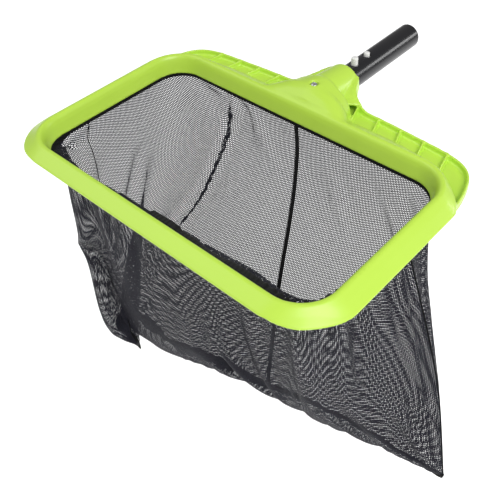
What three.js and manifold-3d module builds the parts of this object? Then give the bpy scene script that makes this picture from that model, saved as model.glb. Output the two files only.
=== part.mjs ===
// Pool leaf skimmer: a moulded frame with a scooping front lip and a ribbed rear flange, a deep
// mesh bag held in the frame by a bead cord, and a spigot that plugs into a telescopic pole.
// Millimetres. +Z is up, the frame's mouth is level, and the pole runs out along +Y.
// The origin is on the spigot's axis, at the two lock pins that hold the pole.
import * as THREE from 'three';
import { mergeVertices } from 'three/addons/utils/BufferGeometryUtils.js';
import Module from 'manifold-3d';

const wasm = await Module();
wasm.setup();

const GAP = 0.3; // left between pieces that touch

// ---- driving dimensions: x and y from the middle of the mouth, z from the frame's ridge ----
const RIDGE_X = 376; // mouth, from ridge to ridge
const RIDGE_Y = 220;
const RIDGE_R = 38; // corner radius of the ridge line
const WALL = 2.6;
const MOUTH_LEAN = 6; // how far the inner wall leans into the mouth
const MOUTH_DEPTH = 22;
const FLANGE_FLOOR = -21; // top of the rear flange's floor
const FLANGE_BOTTOM = -23.6;
const LIP_TOP = -14.6;
const RIB_COUNT = 5; // on each side of the neck
const RIB_FIRST_X = 48;
const RIB_PITCH = 29;
const RIB_LEAN = 7.5; // each rib leans towards the neck by this much
const RIB_THICK = 2.2;

const AXIS_Z = -12; // height of the spigot's axis
const TUBE_R = 14.6;
const TUBE_WALL = 2.2;
const TUBE_START = 131;
const NECK_END = 192;
const NECK_END_R = 21;
const TUBE_END = 324;
const FINGER_Y = 209;
const FINGER_R = 4;
const FINGER_RISE = 7.7; // above the tube
const LOCK_Y = 233;
const LOCK_R = 3.5;
const LOCK_RISE = 3.4;
const PIN_CLEARANCE = 0.9;
const CLIP_WIDTH = 7;
const CLIP_OUTER = 11.4; // from the axis
const CLIP_THICK = 2.2;
const CLIP_HINGE_Y = 292;
const BOLT_Y = 135;
const BOLT_R = 2;

const HEM_BOTTOM = -23.2;
const CORD_R = 2;
const BAG_TOP = -24.6;
const BAG_BOTTOM = -302;
const BAG_OFFSET = -3.8; // from the ridge line to the bag's outside, at the hem
const BAG_WALL = 2.4;
const BAG_SAG = 5; // the panels hang in by this much at half height
const SEAM_HALF = 3; // half the thickness of the bag's bottom seam
const TAPE_WIDTH = 8;

// ---- solids ----
function toSolid(geometry) {
  const bare = geometry.clone();
  bare.deleteAttribute('normal');
  bare.deleteAttribute('uv');
  const merged = mergeVertices(bare, 1e-4);
  return new wasm.Manifold(new wasm.Mesh({
    numProp: 3,
    vertProperties: new Float32Array(merged.attributes.position.array),
    triVerts: new Uint32Array(merged.index.array),
  }));
}

function toGeometry(solid) {
  const mesh = solid.getMesh();
  const geometry = new THREE.BufferGeometry();
  geometry.setAttribute('position', new THREE.BufferAttribute(mesh.vertProperties, 3));
  geometry.setIndex(new THREE.BufferAttribute(mesh.triVerts, 1));
  geometry.computeVertexNormals();
  return geometry;
}

function join(geometries) {
  return geometries.map(toSolid).reduce((all, next) => all.add(next));
}

function cut(solid, geometries) {
  return geometries.map(toSolid).reduce((left, tool) => left.subtract(tool), solid);
}

// A closed solid through equal rings of points. loop joins the last ring to the first.
function loft(rings, loop = false) {
  const size = rings[0].length;
  const positions = rings.flat().flatMap((p) => [p.x, p.y, p.z]);
  const faces = [];
  const steps = loop ? rings.length : rings.length - 1;
  for (let i = 0; i < steps; i += 1) {
    const near = i * size;
    const far = ((i + 1) % rings.length) * size;
    for (let j = 0; j < size; j += 1) {
      const k = (j + 1) % size;
      faces.push(near + j, near + k, far + k, near + j, far + k, far + j);
    }
  }
  if (!loop) {
    const last = (rings.length - 1) * size;
    for (let j = 1; j < size - 1; j += 1) {
      faces.push(0, j + 1, j, last, last + j, last + j + 1);
    }
  }
  const geometry = new THREE.BufferGeometry();
  geometry.setAttribute('position', new THREE.Float32BufferAttribute(positions, 3));
  geometry.setIndex(facingOut(rings.flat(), faces));
  return geometry;
}

// A closed sheet between two equal grids of points, given as lists of columns.
function shell(outer, inner) {
  const columns = outer.length;
  const rows = outer[0].length;
  const points = [...outer.flat(), ...inner.flat()];
  const faces = [];
  const quad = (a, b, c, d) => faces.push(a, b, c, a, c, d);
  const at = (i, j) => i * rows + j;
  const back = columns * rows;
  for (let i = 0; i < columns - 1; i += 1) {
    for (let j = 0; j < rows - 1; j += 1) {
      quad(at(i, j), at(i + 1, j), at(i + 1, j + 1), at(i, j + 1));
      quad(back + at(i, j), back + at(i, j + 1), back + at(i + 1, j + 1), back + at(i + 1, j));
    }
    quad(at(i, 0), back + at(i, 0), back + at(i + 1, 0), at(i + 1, 0));
    quad(at(i + 1, rows - 1), back + at(i + 1, rows - 1), back + at(i, rows - 1), at(i, rows - 1));
  }
  for (let j = 0; j < rows - 1; j += 1) {
    const last = at(columns - 1, j);
    quad(j + 1, back + j + 1, back + j, j);
    quad(last, back + last, back + last + 1, last + 1);
  }
  const geometry = new THREE.BufferGeometry();
  geometry.setAttribute('position', new THREE.Float32BufferAttribute(points.flatMap((p) => [p.x, p.y, p.z]), 3));
  geometry.setIndex(facingOut(points, faces));
  return geometry;
}

// The faces, all turned over if together they enclose a negative volume.
function facingOut(points, faces) {
  let volume = 0;
  for (let i = 0; i < faces.length; i += 3) {
    const [a, b, c] = [points[faces[i]], points[faces[i + 1]], points[faces[i + 2]]];
    volume += a.dot(new THREE.Vector3().crossVectors(b, c));
  }
  if (volume > 0) {
    return faces;
  }
  const turned = [];
  for (let i = 0; i < faces.length; i += 3) {
    turned.push(faces[i], faces[i + 2], faces[i + 1]);
  }
  return turned;
}

// A cylinder about the spigot's axis direction (along Y) or upright (along Z).
function rodAlongY(radius, from, to, sides = 40) {
  const rod = new THREE.CylinderGeometry(radius, radius, to - from, sides);
  return rod.translate(0, (from + to) / 2, AXIS_Z);
}

function uprightRod(radius, y, low, high, sides = 24) {
  const rod = new THREE.CylinderGeometry(radius, radius, high - low, sides);
  return rod.rotateX(Math.PI / 2).translate(0, y, (low + high) / 2);
}

function box(x0, x1, y0, y1, z0, z1) {
  const block = new THREE.BoxGeometry(x1 - x0, y1 - y0, z1 - z0);
  return block.translate((x0 + x1) / 2, (y0 + y1) / 2, (z0 + z1) / 2);
}

// ---- the ridge line: a rounded rectangle, as stations with outward normals ----
function ridgeStations(perCorner, perLong, perShort) {
  const stations = [];
  const halfX = RIDGE_X / 2 - RIDGE_R;
  const halfY = RIDGE_Y / 2 - RIDGE_R;
  const corners = [[1, -1, -90], [1, 1, 0], [-1, 1, 90], [-1, -1, 180]];
  corners.forEach(([sx, sy, start], index) => {
    for (let i = 0; i <= perCorner; i += 1) {
      const angle = THREE.MathUtils.degToRad(start + (90 * i) / perCorner);
      const nx = Math.cos(angle);
      const ny = Math.sin(angle);
      stations.push({ x: sx * halfX + RIDGE_R * nx, y: sy * halfY + RIDGE_R * ny, nx, ny });
    }
    const from = stations[stations.length - 1];
    const along = index % 2 === 0 ? 2 * halfY : 2 * halfX;
    const pieces = index % 2 === 0 ? perShort : perLong;
    for (let i = 1; i < pieces; i += 1) {
      const step = (along * i) / pieces;
      stations.push({ x: from.x - from.ny * step, y: from.y + from.nx * step, nx: from.nx, ny: from.ny });
    }
  });
  return stations;
}

// A section's point, n outward from the ridge and z up, placed at a station.
function place(station, [n, z]) {
  return new THREE.Vector3(station.x + station.nx * n, station.y + station.ny * n, z);
}

function sweepRing(stations, section) {
  return loft(stations.map((s) => section(s).map((point) => place(s, point))), true);
}

const lerp = THREE.MathUtils.lerp;
const smooth = (value, from, to) => THREE.MathUtils.smoothstep((value - from) / (to - from), 0, 1);

// ---- frame: where the sloping top face ends (crease) and the outer wall below it ends (foot) ----
const RIM = {
  front: { crease: [19, -7.5], foot: [18.4, -9.6] },
  frontCorner: { crease: [17, -6.5], foot: [20, -10] },
  side: { crease: [21, -11], foot: [22, -14.5] },
  backCorner: { crease: [11, -7], foot: [13, FLANGE_BOTTOM] },
  back: { crease: [25, -13], foot: [28, FLANGE_BOTTOM] },
};

function blendRim(a, b, t) {
  const mix = (key) => a[key].map((value, i) => lerp(value, b[key][i], t));
  return { crease: mix('crease'), foot: mix('foot') };
}

function rimAt(station) {
  const angle = THREE.MathUtils.radToDeg(Math.atan2(station.ny, Math.abs(station.nx)));
  if (angle < -45) {
    return blendRim(RIM.front, RIM.frontCorner, smooth(angle, -90, -50));
  }
  if (angle < 0) {
    return blendRim(RIM.frontCorner, RIM.side, smooth(angle, -42, 0));
  }
  if (angle < 45) {
    return blendRim(RIM.side, RIM.backCorner, smooth(angle, 0, 45));
  }
  const middle = smooth(Math.abs(station.x), 175, 100);
  return blendRim(RIM.backCorner, RIM.back, middle);
}

function frameSection(station) {
  const { crease: [a, b], foot: [c, e] } = rimAt(station);
  return [
    [-MOUTH_LEAN, -MOUTH_DEPTH],
    [-MOUTH_LEAN * 0.55, -MOUTH_DEPTH * 0.5],
    [-1.3, -1.4],
    [0, 0],
    [1.7, -0.3],
    [lerp(1.7, a, 0.5), lerp(-0.3, b, 0.42)],
    [a, b],
    [c, e],
    [c - WALL, e],
    [a - WALL, b - WALL * 0.9],
    [4.2, -4.4],
    [1.4, -5.6],
    [-MOUTH_LEAN + WALL, -MOUTH_DEPTH],
  ];
}

// ---- frame: rear flange ----
// Half of the flange's outer edge, from the neck's end round to the side rail.
const NECK_FLARE = [[NECK_END_R - 1, NECK_END - 2], [23, 184], [27.5, 175], [35, 167.5], [45, 163.5]];
const REAR_EDGE = [[58, 161.5], [80, 160.5], [103, 158.8], [126, 157], [149, 155]];
const REAR_END = [[168, 151.5], [182, 145], [192, 134], [198, 119], [202, 102], [205, 82], [208, 60]];

function lipTop(x, y) {
  const climb = smooth(x, 56, NECK_END_R) * 0.8 + smooth(y, 160, NECK_END) * 0.2;
  const fade = smooth(y, 128, 62);
  return lerp(lerp(LIP_TOP, AXIS_Z + 12, climb), -13.4, fade);
}

function flangeLip(side) {
  const edge = [...NECK_FLARE, ...REAR_EDGE, ...REAR_END];
  const rings = edge.map(([x, y], i) => {
    const [x0, y0] = edge[Math.max(i - 1, 0)];
    const [x1, y1] = edge[Math.min(i + 1, edge.length - 1)];
    const long = Math.hypot(x1 - x0, y1 - y0);
    const inX = x + ((y1 - y0) / long) * WALL;
    const inY = y - ((x1 - x0) / long) * WALL;
    const top = lipTop(x, y);
    return [[x, y, FLANGE_BOTTOM], [inX, inY, FLANGE_BOTTOM], [inX, inY, top], [x, y, top]]
      .map(([px, py, pz]) => new THREE.Vector3(side * px, py, pz));
  });
  return loft(rings);
}

// One half of the floor, from just inside the rim's foot out to the lip.
function flangeFloor(side) {
  const outer = [...NECK_FLARE, ...REAR_EDGE, ...REAR_END.slice(0, 5), [203.3, 94]];
  const inner = ridgeStations(12, 12, 5)
    .filter((s) => s.x > -0.01 && s.ny > 0.4)
    .map((s) => place(s, [rimAt(s).foot[0] - 1.2, 0]));
  const outline = [...outer, ...inner, { x: 0, y: NECK_END - 2 }]
    .map((p) => (Array.isArray(p) ? p : [p.x, p.y]))
    .map(([x, y]) => new THREE.Vector2(side * x, y));
  const depth = FLANGE_FLOOR - FLANGE_BOTTOM;
  const plate = new THREE.ExtrudeGeometry(new THREE.Shape(outline), { depth, bevelEnabled: false });
  return plate.translate(0, 0, FLANGE_BOTTOM);
}

function flangeRib(side, index) {
  const footX = RIB_FIRST_X + RIB_PITCH * index;
  const footY = 137 - 15 * smooth(footX, 95, 180);
  const tipX = footX - RIB_LEAN;
  const tipY = 161.5 - 7 * smooth(tipX, 40, 170);
  const low = FLANGE_FLOOR - 1;
  const rise = [
    [footX, footY - 1.5, -18.6],
    [lerp(footX, tipX, 0.6), lerp(footY, tipY, 0.6), -17.2],
    [tipX, tipY - 1, LIP_TOP - 0.2],
  ];
  const rings = rise.map(([x, y, top]) => [[-1, low], [1, low], [1, top], [-1, top]]
    .map(([across, z]) => new THREE.Vector3(side * (x + (across * RIB_THICK) / 2), y, z)));
  return loft(rings);
}

// ---- frame: neck ----
function turned(profile, sides) {
  const points = profile.map(([y, r]) => new THREE.Vector2(r, y));
  return new THREE.LatheGeometry(points, sides).translate(0, 0, AXIS_Z);
}

function neckBody() {
  return turned([
    [118, 0], [118, 15], [126, 21], [135, 24.3], [145, 24.4],
    [160, 23.6], [180, 22], [NECK_END, NECK_END_R], [NECK_END, 0],
  ], 40);
}

// The shoulder that spreads from the neck out along the ridge: y, half width, top and underside.
const SHOULDER = [
  [111.5, 62, -0.8, -4.5], [116, 60, 4, -6.5], [122, 55, 8.6, -9.5],
  [130, 50, 12.2, -13.5], [134.5, 47.5, 12.4, -18.5], [137, 46, 12.4, -22.5], [150, 41, 11.6, -22.5],
];

function shoulder() {
  const rings = SHOULDER.map(([y, half, top, low]) => {
    const across = Array.from({ length: 15 }, (_, i) => -Math.cos((i * Math.PI) / 14));
    return across.map((t) => {
      const rise = (1 - t * t) ** 0.45;
      return new THREE.Vector3(t * half, y, lerp(low, top, rise));
    });
  });
  return loft(rings);
}

function frameGeometry() {
  const ribs = [1, -1].flatMap((side) => Array.from({ length: RIB_COUNT }, (_, i) => flangeRib(side, i)));
  const ring = sweepRing(ridgeStations(12, 12, 5), frameSection);
  const flange = [1, -1].flatMap((side) => [flangeFloor(side), flangeLip(side)]);
  const body = join([ring, ...flange, ...ribs, shoulder(), neckBody()]);
  return toGeometry(cut(body, [
    rodAlongY(TUBE_R + GAP, TUBE_START - GAP, NECK_END + 10),
    uprightRod(BOLT_R + GAP, BOLT_Y, AXIS_Z - 40, AXIS_Z + 40, 16),
    uprightRod(4.6, BOLT_Y, AXIS_Z + 22.6, AXIS_Z + 40),
    uprightRod(4.6, BOLT_Y, AXIS_Z - 40, AXIS_Z - 21, 6),
  ]));
}

// ---- net hem, bead cord and retainers, under the frame's inner wall ----
const HEM_STATIONS = ridgeStations(8, 6, 3);

function hemTapeGeometry() {
  const path = [
    [-6.2, -22.4], [-0.6, -22.4], [2.7, -19.9], [2.7, -16.5],
    [3.5, -16.5], [3.5, -20.2], [-0.3, HEM_BOTTOM], [-6.2, HEM_BOTTOM],
  ];
  return sweepRing(HEM_STATIONS, () => path);
}

function hemCordGeometry() {
  const round = Array.from({ length: 8 }, (_, i) => {
    const angle = (i * Math.PI) / 4;
    return [0.3 + CORD_R * Math.cos(angle), -18.5 + CORD_R * Math.sin(angle)];
  });
  return sweepRing(HEM_STATIONS, () => round);
}

// An L-shaped strip along one straight rail, hooked over the bead cord.
function retainerGeometry(x, y, nx, ny, length) {
  const section = [[3.9, -22.6], [6.1, -22.6], [6.1, -13.2], [0.6, -13.2], [0.6, -15.2], [3.9, -15.2]];
  const outline = new THREE.Shape(section.map(([n, z]) => new THREE.Vector2(n, z)));
  const strip = new THREE.ExtrudeGeometry(outline, { depth: length, bevelEnabled: false });
  const frame = new THREE.Matrix4().makeBasis(
    new THREE.Vector3(nx, ny, 0),
    new THREE.Vector3(0, 0, 1),
    new THREE.Vector3(ny, -nx, 0),
  );
  const start = new THREE.Vector3(x - (ny * length) / 2, y + (nx * length) / 2, 0);
  return strip.applyMatrix4(frame.setPosition(start));
}

// ---- net bag: from the hem down to one long bottom seam ----
// The seam reaches past the frame on one side, and is tucked in on the other.
const SEAM = new THREE.CatmullRomCurve3([
  [-182, -62], [-95, -52], [0, -38], [90, -28], [190, -14], [294, 4],
].map(([x, y]) => new THREE.Vector3(x, y, BAG_BOTTOM)));

function bagPoint(station, level, depth, side) {
  const offset = BAG_OFFSET - depth;
  const top = place(station, [offset, BAG_TOP]);
  const half = RIDGE_X / 2 + offset;
  const across = THREE.MathUtils.clamp((top.x + half) / (2 * half), 0, 1);
  const inset = depth / 70;
  const end = SEAM.getPoint(lerp(inset, 1 - inset, across));
  const taper = Math.min(1, 8 * across, 8 * (1 - across));
  end.y += depth > 0 ? 0 : side * SEAM_HALF * taper;
  const point = top.lerp(end, level);
  const sag = BAG_SAG * Math.sin(Math.PI * level);
  return point.add(new THREE.Vector3(-station.nx * sag, (side * GAP) / 2 - station.ny * sag, 0));
}

// One panel of the bag, from the right side seam round to the left one. side is -1 for the front.
function panelGeometry(side) {
  const ring = ridgeStations(6, 10, 4);
  const seam = ring.findIndex((s) => s.nx > 0.99 && Math.abs(s.y) < 1e-6) + (side > 0 ? 0 : ring.length / 2);
  const stations = [...ring, ...ring].slice(seam, seam + ring.length / 2 + 1);
  const levels = [0, 0.25, 0.5, 0.75, 1];
  const [outer, inner] = [0, BAG_WALL].map((depth) => (
    stations.map((station) => levels.map((level) => bagPoint(station, level, depth, side)))));
  return shell(outer, inner);
}

// A flat tape down the middle of the bag's back panel, outside it.
function centreTapeGeometry() {
  const seamAt = SEAM.getPoint(0.5);
  const top = new THREE.Vector3(0, RIDGE_Y / 2 + BAG_OFFSET + 2 * GAP, BAG_TOP);
  const end = new THREE.Vector3(seamAt.x, seamAt.y + SEAM_HALF + 2 * GAP, BAG_BOTTOM);
  const rings = Array.from({ length: 9 }, (_, i) => {
    const level = lerp(0.01, 0.98, i / 8);
    const middle = top.clone().lerp(end, level);
    const out = 1 - BAG_SAG * Math.sin(Math.PI * level) * 0.9;
    return [[-1, out], [1, out], [1, out + 1], [-1, out + 1]].map(([across, dy]) => (
      new THREE.Vector3(middle.x + (across * TAPE_WIDTH) / 2, middle.y + dy, middle.z)));
  });
  return loft(rings);
}

// A tape folded up against the bottom seam, just under it.
function bottomTapeGeometry() {
  const rings = Array.from({ length: 13 }, (_, i) => {
    const at = SEAM.getPoint(lerp(0.01, 0.99, i / 12));
    const low = BAG_BOTTOM - 2.4;
    return [[-1.5, low], [1.5, low], [1.5, BAG_BOTTOM - GAP], [-1.5, BAG_BOTTOM - GAP]]
      .map(([dy, z]) => new THREE.Vector3(at.x, at.y + dy, z));
  });
  return loft(rings);
}

// ---- spigot, snap clip and bolt ----
function spigotGeometry() {
  const tube = cut(join([rodAlongY(TUBE_R, TUBE_START, TUBE_END)]), [
    rodAlongY(TUBE_R - TUBE_WALL, TUBE_START - 5, TUBE_END + 5),
    uprightRod(FINGER_R + PIN_CLEARANCE, FINGER_Y, AXIS_Z - 30, AXIS_Z + 30),
    uprightRod(LOCK_R + PIN_CLEARANCE, LOCK_Y, AXIS_Z - 30, AXIS_Z + 30),
    uprightRod(BOLT_R + GAP, BOLT_Y, AXIS_Z - 30, AXIS_Z + 30, 16),
  ]);
  return toGeometry(tube);
}

function button(radius, y, rise) {
  const foot = CLIP_OUTER - 1;
  const top = TUBE_R + rise;
  const dome = [[radius, top - 1.6], [radius * 0.86, top - 0.5], [radius * 0.55, top]];
  const profile = [[0, foot], [radius, foot], ...dome, [0, top]];
  const points = profile.map(([r, h]) => new THREE.Vector2(r, h));
  return new THREE.LatheGeometry(points, 20).rotateX(Math.PI / 2).translate(0, y, 0);
}

// One arm of the clip with its finger button and lock pin. side is 1 above the axis, -1 below.
function clipArmGeometry(side) {
  const half = CLIP_WIDTH / 2;
  const strip = box(-half, half, FINGER_Y - 5.5, CLIP_HINGE_Y - GAP, CLIP_OUTER - CLIP_THICK, CLIP_OUTER);
  const arm = toGeometry(join([
    strip,
    button(FINGER_R, FINGER_Y, FINGER_RISE),
    button(LOCK_R, LOCK_Y, LOCK_RISE),
  ]));
  return (side > 0 ? arm : arm.rotateY(Math.PI)).translate(0, 0, AXIS_Z);
}

function clipBowGeometry() {
  const outer = CLIP_OUTER;
  const inner = CLIP_OUTER - CLIP_THICK;
  const outline = new THREE.Shape();
  outline.absarc(0, 0, outer, -Math.PI / 2, Math.PI / 2, false);
  outline.absarc(0, 0, inner, Math.PI / 2, -Math.PI / 2, true);
  const bow = new THREE.ExtrudeGeometry(outline, { depth: CLIP_WIDTH, bevelEnabled: false, curveSegments: 12 });
  bow.translate(0, 0, -CLIP_WIDTH / 2);
  bow.applyMatrix4(new THREE.Matrix4().makeBasis(
    new THREE.Vector3(0, 1, 0),
    new THREE.Vector3(0, 0, 1),
    new THREE.Vector3(1, 0, 0),
  ));
  return bow.translate(0, CLIP_HINGE_Y, AXIS_Z);
}

function boltGeometry() {
  const profile = [
    [0, -26.6], [BOLT_R, -26.6], [BOLT_R, 22.9], [3.9, 22.9], [3.9, 24], [3, 25], [0, 25.4],
  ];
  const points = profile.map(([r, h]) => new THREE.Vector2(r, h));
  const bolt = toSolid(new THREE.LatheGeometry(points, 16).rotateX(Math.PI / 2));
  const cross = [box(-2.1, 2.1, -0.4, 0.4, 24, 27), box(-0.4, 0.4, -2.1, 2.1, 24, 27)];
  return toGeometry(cut(bolt, cross)).translate(0, BOLT_Y, AXIS_Z);
}

function nutGeometry() {
  const nut = toSolid(new THREE.CylinderGeometry(4, 4, 3.2, 6));
  const bored = nut.subtract(toSolid(new THREE.CylinderGeometry(BOLT_R + GAP, BOLT_R + GAP, 6, 16)));
  return toGeometry(bored).rotateX(Math.PI / 2).translate(0, BOLT_Y, AXIS_Z - 22.9);
}

// ---- the assembly ----
function finish(color, roughness, metalness = 0) {
  return () => new THREE.MeshStandardMaterial({ color, roughness, metalness });
}

const limePlastic = finish(0xb4e332, 0.42);
const blackPlastic = finish(0x17171a, 0.28);
const whiteNylon = finish(0xe9e9e4, 0.45);
const blackMesh = finish(0x202022, 0.9);
const blackTape = finish(0x0e0e10, 0.85);
const steel = finish(0xc4c6c8, 0.3, 1);

const frameGroup = new THREE.Group();
frameGroup.position.set(0, -LOCK_Y, -AXIS_Z);

function add(name, geometry, material) {
  const mesh = new THREE.Mesh(geometry, material());
  mesh.name = name;
  frameGroup.add(mesh);
}

const alongX = RIDGE_X - 2 * RIDGE_R - 6;
const alongY = RIDGE_Y - 2 * RIDGE_R - 6;
add('frame', frameGeometry(), limePlastic);
add('hem_cord', hemCordGeometry(), blackTape);
add('hem_tape', hemTapeGeometry(), blackTape);
add('retainer_front', retainerGeometry(0, -RIDGE_Y / 2, 0, -1, alongX), blackPlastic);
add('retainer_back', retainerGeometry(0, RIDGE_Y / 2, 0, 1, alongX), blackPlastic);
add('retainer_right', retainerGeometry(RIDGE_X / 2, 0, 1, 0, alongY), blackPlastic);
add('retainer_left', retainerGeometry(-RIDGE_X / 2, 0, -1, 0, alongY), blackPlastic);
add('net_panel_front', panelGeometry(-1), blackMesh);
add('net_panel_back', panelGeometry(1), blackMesh);
add('centre_seam_tape', centreTapeGeometry(), blackTape);
add('bottom_seam_tape', bottomTapeGeometry(), blackTape);
add('spigot_tube', spigotGeometry(), blackPlastic);
add('neck_bolt', boltGeometry(), steel);
add('neck_nut', nutGeometry(), steel);
add('clip_bow', clipBowGeometry(), whiteNylon);
add('clip_arm_upper', clipArmGeometry(1), whiteNylon);
add('clip_arm_lower', clipArmGeometry(-1), whiteNylon);

export default frameGroup;
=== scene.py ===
"""Looks of the leaf skimmer net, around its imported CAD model. Lengths are metres unless a name says mm."""
import math

import bpy
import numpy as np
from mathutils import Matrix, Vector


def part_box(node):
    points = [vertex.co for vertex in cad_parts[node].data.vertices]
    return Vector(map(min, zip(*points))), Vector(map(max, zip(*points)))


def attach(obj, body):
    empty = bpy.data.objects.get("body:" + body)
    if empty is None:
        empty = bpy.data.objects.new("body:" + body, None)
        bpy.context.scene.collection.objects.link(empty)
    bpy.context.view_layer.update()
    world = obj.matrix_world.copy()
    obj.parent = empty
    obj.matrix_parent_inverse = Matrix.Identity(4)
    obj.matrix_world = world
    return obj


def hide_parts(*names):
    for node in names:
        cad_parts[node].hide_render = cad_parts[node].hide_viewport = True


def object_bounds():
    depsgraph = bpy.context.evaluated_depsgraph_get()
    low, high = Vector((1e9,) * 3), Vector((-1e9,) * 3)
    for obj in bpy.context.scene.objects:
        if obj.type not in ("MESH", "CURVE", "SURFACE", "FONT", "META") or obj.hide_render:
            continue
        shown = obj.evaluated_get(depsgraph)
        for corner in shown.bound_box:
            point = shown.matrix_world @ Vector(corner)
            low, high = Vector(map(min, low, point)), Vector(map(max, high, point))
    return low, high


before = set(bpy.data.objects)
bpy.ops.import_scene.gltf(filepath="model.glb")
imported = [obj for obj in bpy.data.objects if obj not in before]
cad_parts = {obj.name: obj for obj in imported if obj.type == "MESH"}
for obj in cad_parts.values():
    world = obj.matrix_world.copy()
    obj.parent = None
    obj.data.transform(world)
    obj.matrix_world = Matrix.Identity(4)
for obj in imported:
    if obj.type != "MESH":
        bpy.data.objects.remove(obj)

CAD_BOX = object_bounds()
MM = 0.001

# ---- the mouth's own coordinates, in mm: x and y from its middle, z from the frame's ridge ----
CORD_DEPTH = 18.5
cord_low, cord_high = (np.array(corner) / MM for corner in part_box("hem_cord"))
MOUTH = (cord_low + cord_high) / 2 + (0, 0, CORD_DEPTH)
RIDGE_HALF = np.array([188.0, 110.0])
RIDGE_R = 38.0
AXIS_Z = -MOUTH[2]
LOCK_Y = -MOUTH[1]


def to_part(points_mm):
    """Metres in the part's frame, from mm in the mouth's coordinates."""
    return (np.asarray(points_mm, float) + MOUTH) * MM


# ---------------------------------------------------------------- distance fields
def smooth_step(value, start, end):
    t = np.clip((value - start) / (end - start), 0, 1)
    return t * t * (3 - 2 * t)


def join(a, b, k):
    """Union of two fields with a fillet of about k mm."""
    h = np.maximum(k - np.abs(a - b), 0) / k
    return np.minimum(a, b) - h * h * k / 4


def cut(a, b, k=0.8):
    """Field a without field b, its edge rounded by about k mm."""
    return -join(-a, b, k)


def meet(a, b, k):
    """The part inside both fields, its edge rounded by about k mm."""
    return -join(-a, -b, k)


def stroke(px, pz, start, end, r0, r1):
    """Distance from a rounded bar between two points, of radius r0 at the start and r1 at the end."""
    dx, dz = end[0] - start[0], end[1] - start[1]
    t = ((px - start[0]) * dx + (pz - start[1]) * dz) / np.maximum(dx * dx + dz * dz, 1e-6)
    t = np.clip(t, 0, 1)
    return np.hypot(px - start[0] - t * dx, pz - start[1] - t * dz) - (r0 + (r1 - r0) * t)


def path_distance(x, y, path):
    """Plan distance from a path, the side (positive left of it) and how far along it the nearest point is."""
    best = np.full(x.shape, 1e9)
    along = np.zeros(x.shape)
    side = np.zeros(x.shape)
    done = 0.0
    for (x0, y0), (x1, y1) in zip(path[:-1], path[1:]):
        dx, dy = x1 - x0, y1 - y0
        long = math.hypot(dx, dy)
        t = np.clip(((x - x0) * dx + (y - y0) * dy) / long**2, 0, 1)
        d = np.hypot(x - x0 - t * dx, y - y0 - t * dy)
        near = d < best
        best = np.where(near, d, best)
        along = np.where(near, done + t * long, along)
        side = np.where(near, np.sign(dx * (y - y0) - dy * (x - x0)), side)
        done += long
    return best, side, along


def curve_through(points, count):
    """Points evenly spaced along a smooth curve through the given ones."""
    points = np.array(points, float)
    spans = len(points) - 1
    ends = np.vstack([2 * points[0] - points[1], points, 2 * points[-1] - points[-2]])
    x = np.clip(np.linspace(0, spans, 60 * spans + 1), 0, spans - 1e-9)
    i = x.astype(int)
    f = (x - i)[:, None]
    a, b, c, d = ends[i], ends[i + 1], ends[i + 2], ends[i + 3]
    fine = 0.5 * (2 * b + (c - a) * f + (2 * a - 5 * b + 4 * c - d) * f**2 + (3 * b - a - 3 * c + d) * f**3)
    step = np.r_[0, np.cumsum(np.linalg.norm(np.diff(fine, axis=0), axis=1))]
    even = np.linspace(0, step[-1], count)
    return np.stack([np.interp(even, step, fine[:, k]) for k in range(points.shape[1])], 1)


def surface_net(field, low, step):
    """Vertices and quads of the surface where a sampled field is zero."""
    inside = field < 0
    size = np.array(field.shape) - 1
    corners = [(i, j, k) for i in (0, 1) for j in (0, 1) for k in (0, 1)]
    filled = np.zeros(size, np.int8)
    for i, j, k in corners:
        filled += inside[i:size[0] + i, j:size[1] + j, k:size[2] + k]
    cells = np.argwhere((filled > 0) & (filled < 8))
    number = np.full(size, -1)
    number[tuple(cells.T)] = np.arange(len(cells))
    total = np.zeros((len(cells), 3))
    hits = np.zeros(len(cells))
    for axis in range(3):
        for corner in corners:
            if corner[axis]:
                continue
            end = list(corner)
            end[axis] = 1
            a = field[tuple((cells + corner).T)]
            b = field[tuple((cells + end).T)]
            crossing = (a < 0) != (b < 0)
            t = np.where(crossing, a / np.where(crossing, a - b, 1), 0)
            place = np.repeat(np.array(corner, float)[None], len(cells), 0)
            place[:, axis] += t
            total += place * crossing[:, None]
            hits += crossing
    vertices = (cells + total / hits[:, None]) * step + low
    quads = []
    for axis in range(3):
        u, v = [k for k in range(3) if k != axis]
        a = np.take(inside, range(size[axis]), axis)
        b = np.take(inside, range(1, size[axis] + 1), axis)
        edges = np.argwhere(a != b)
        edges = edges[(edges[:, u] > 0) & (edges[:, v] > 0) & (edges[:, u] < size[u]) & (edges[:, v] < size[v])]
        ring = []
        for du, dv in ((1, 1), (0, 1), (0, 0), (1, 0)):
            cell = edges.copy()
            cell[:, u] -= du
            cell[:, v] -= dv
            ring.append(number[tuple(cell.T)])
        quad = np.stack(ring, 1)
        outward = a[tuple(edges.T)] == (axis != 1)
        quad[~outward] = quad[~outward][:, ::-1]
        quads.append(quad)
    return vertices, np.concatenate(quads)


def make_mesh(name, vertices, faces, body="head"):
    mesh = bpy.data.meshes.new(name)
    mesh.from_pydata([tuple(v) for v in vertices], [], [tuple(int(i) for i in f) for f in faces])
    mesh.validate()
    mesh.update()
    mesh.shade_smooth()
    piece = bpy.data.objects.new(name, mesh)
    bpy.context.scene.collection.objects.link(piece)
    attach(piece, body)
    return piece


def solid_from_field(name, field_of, low, high, step, body="head", mirror=False):
    """A piece whose surface is where field_of(x, y, z) is zero, sampled every step mm."""
    low = np.array(low, float)
    counts = np.ceil((np.array(high) - low) / step).astype(int) + 1
    x, y, z = (low[k] + step * np.arange(counts[k]) for k in range(3))
    field = field_of(x[:, None, None], y[None, :, None], z[None, None, :]).astype(np.float32)
    if mirror:
        field = np.concatenate([field[:0:-1], field])
        low[0] = -x[-1]
    vertices, quads = surface_net(field, low, step)
    return make_mesh(name, to_part(vertices), quads, body)


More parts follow.
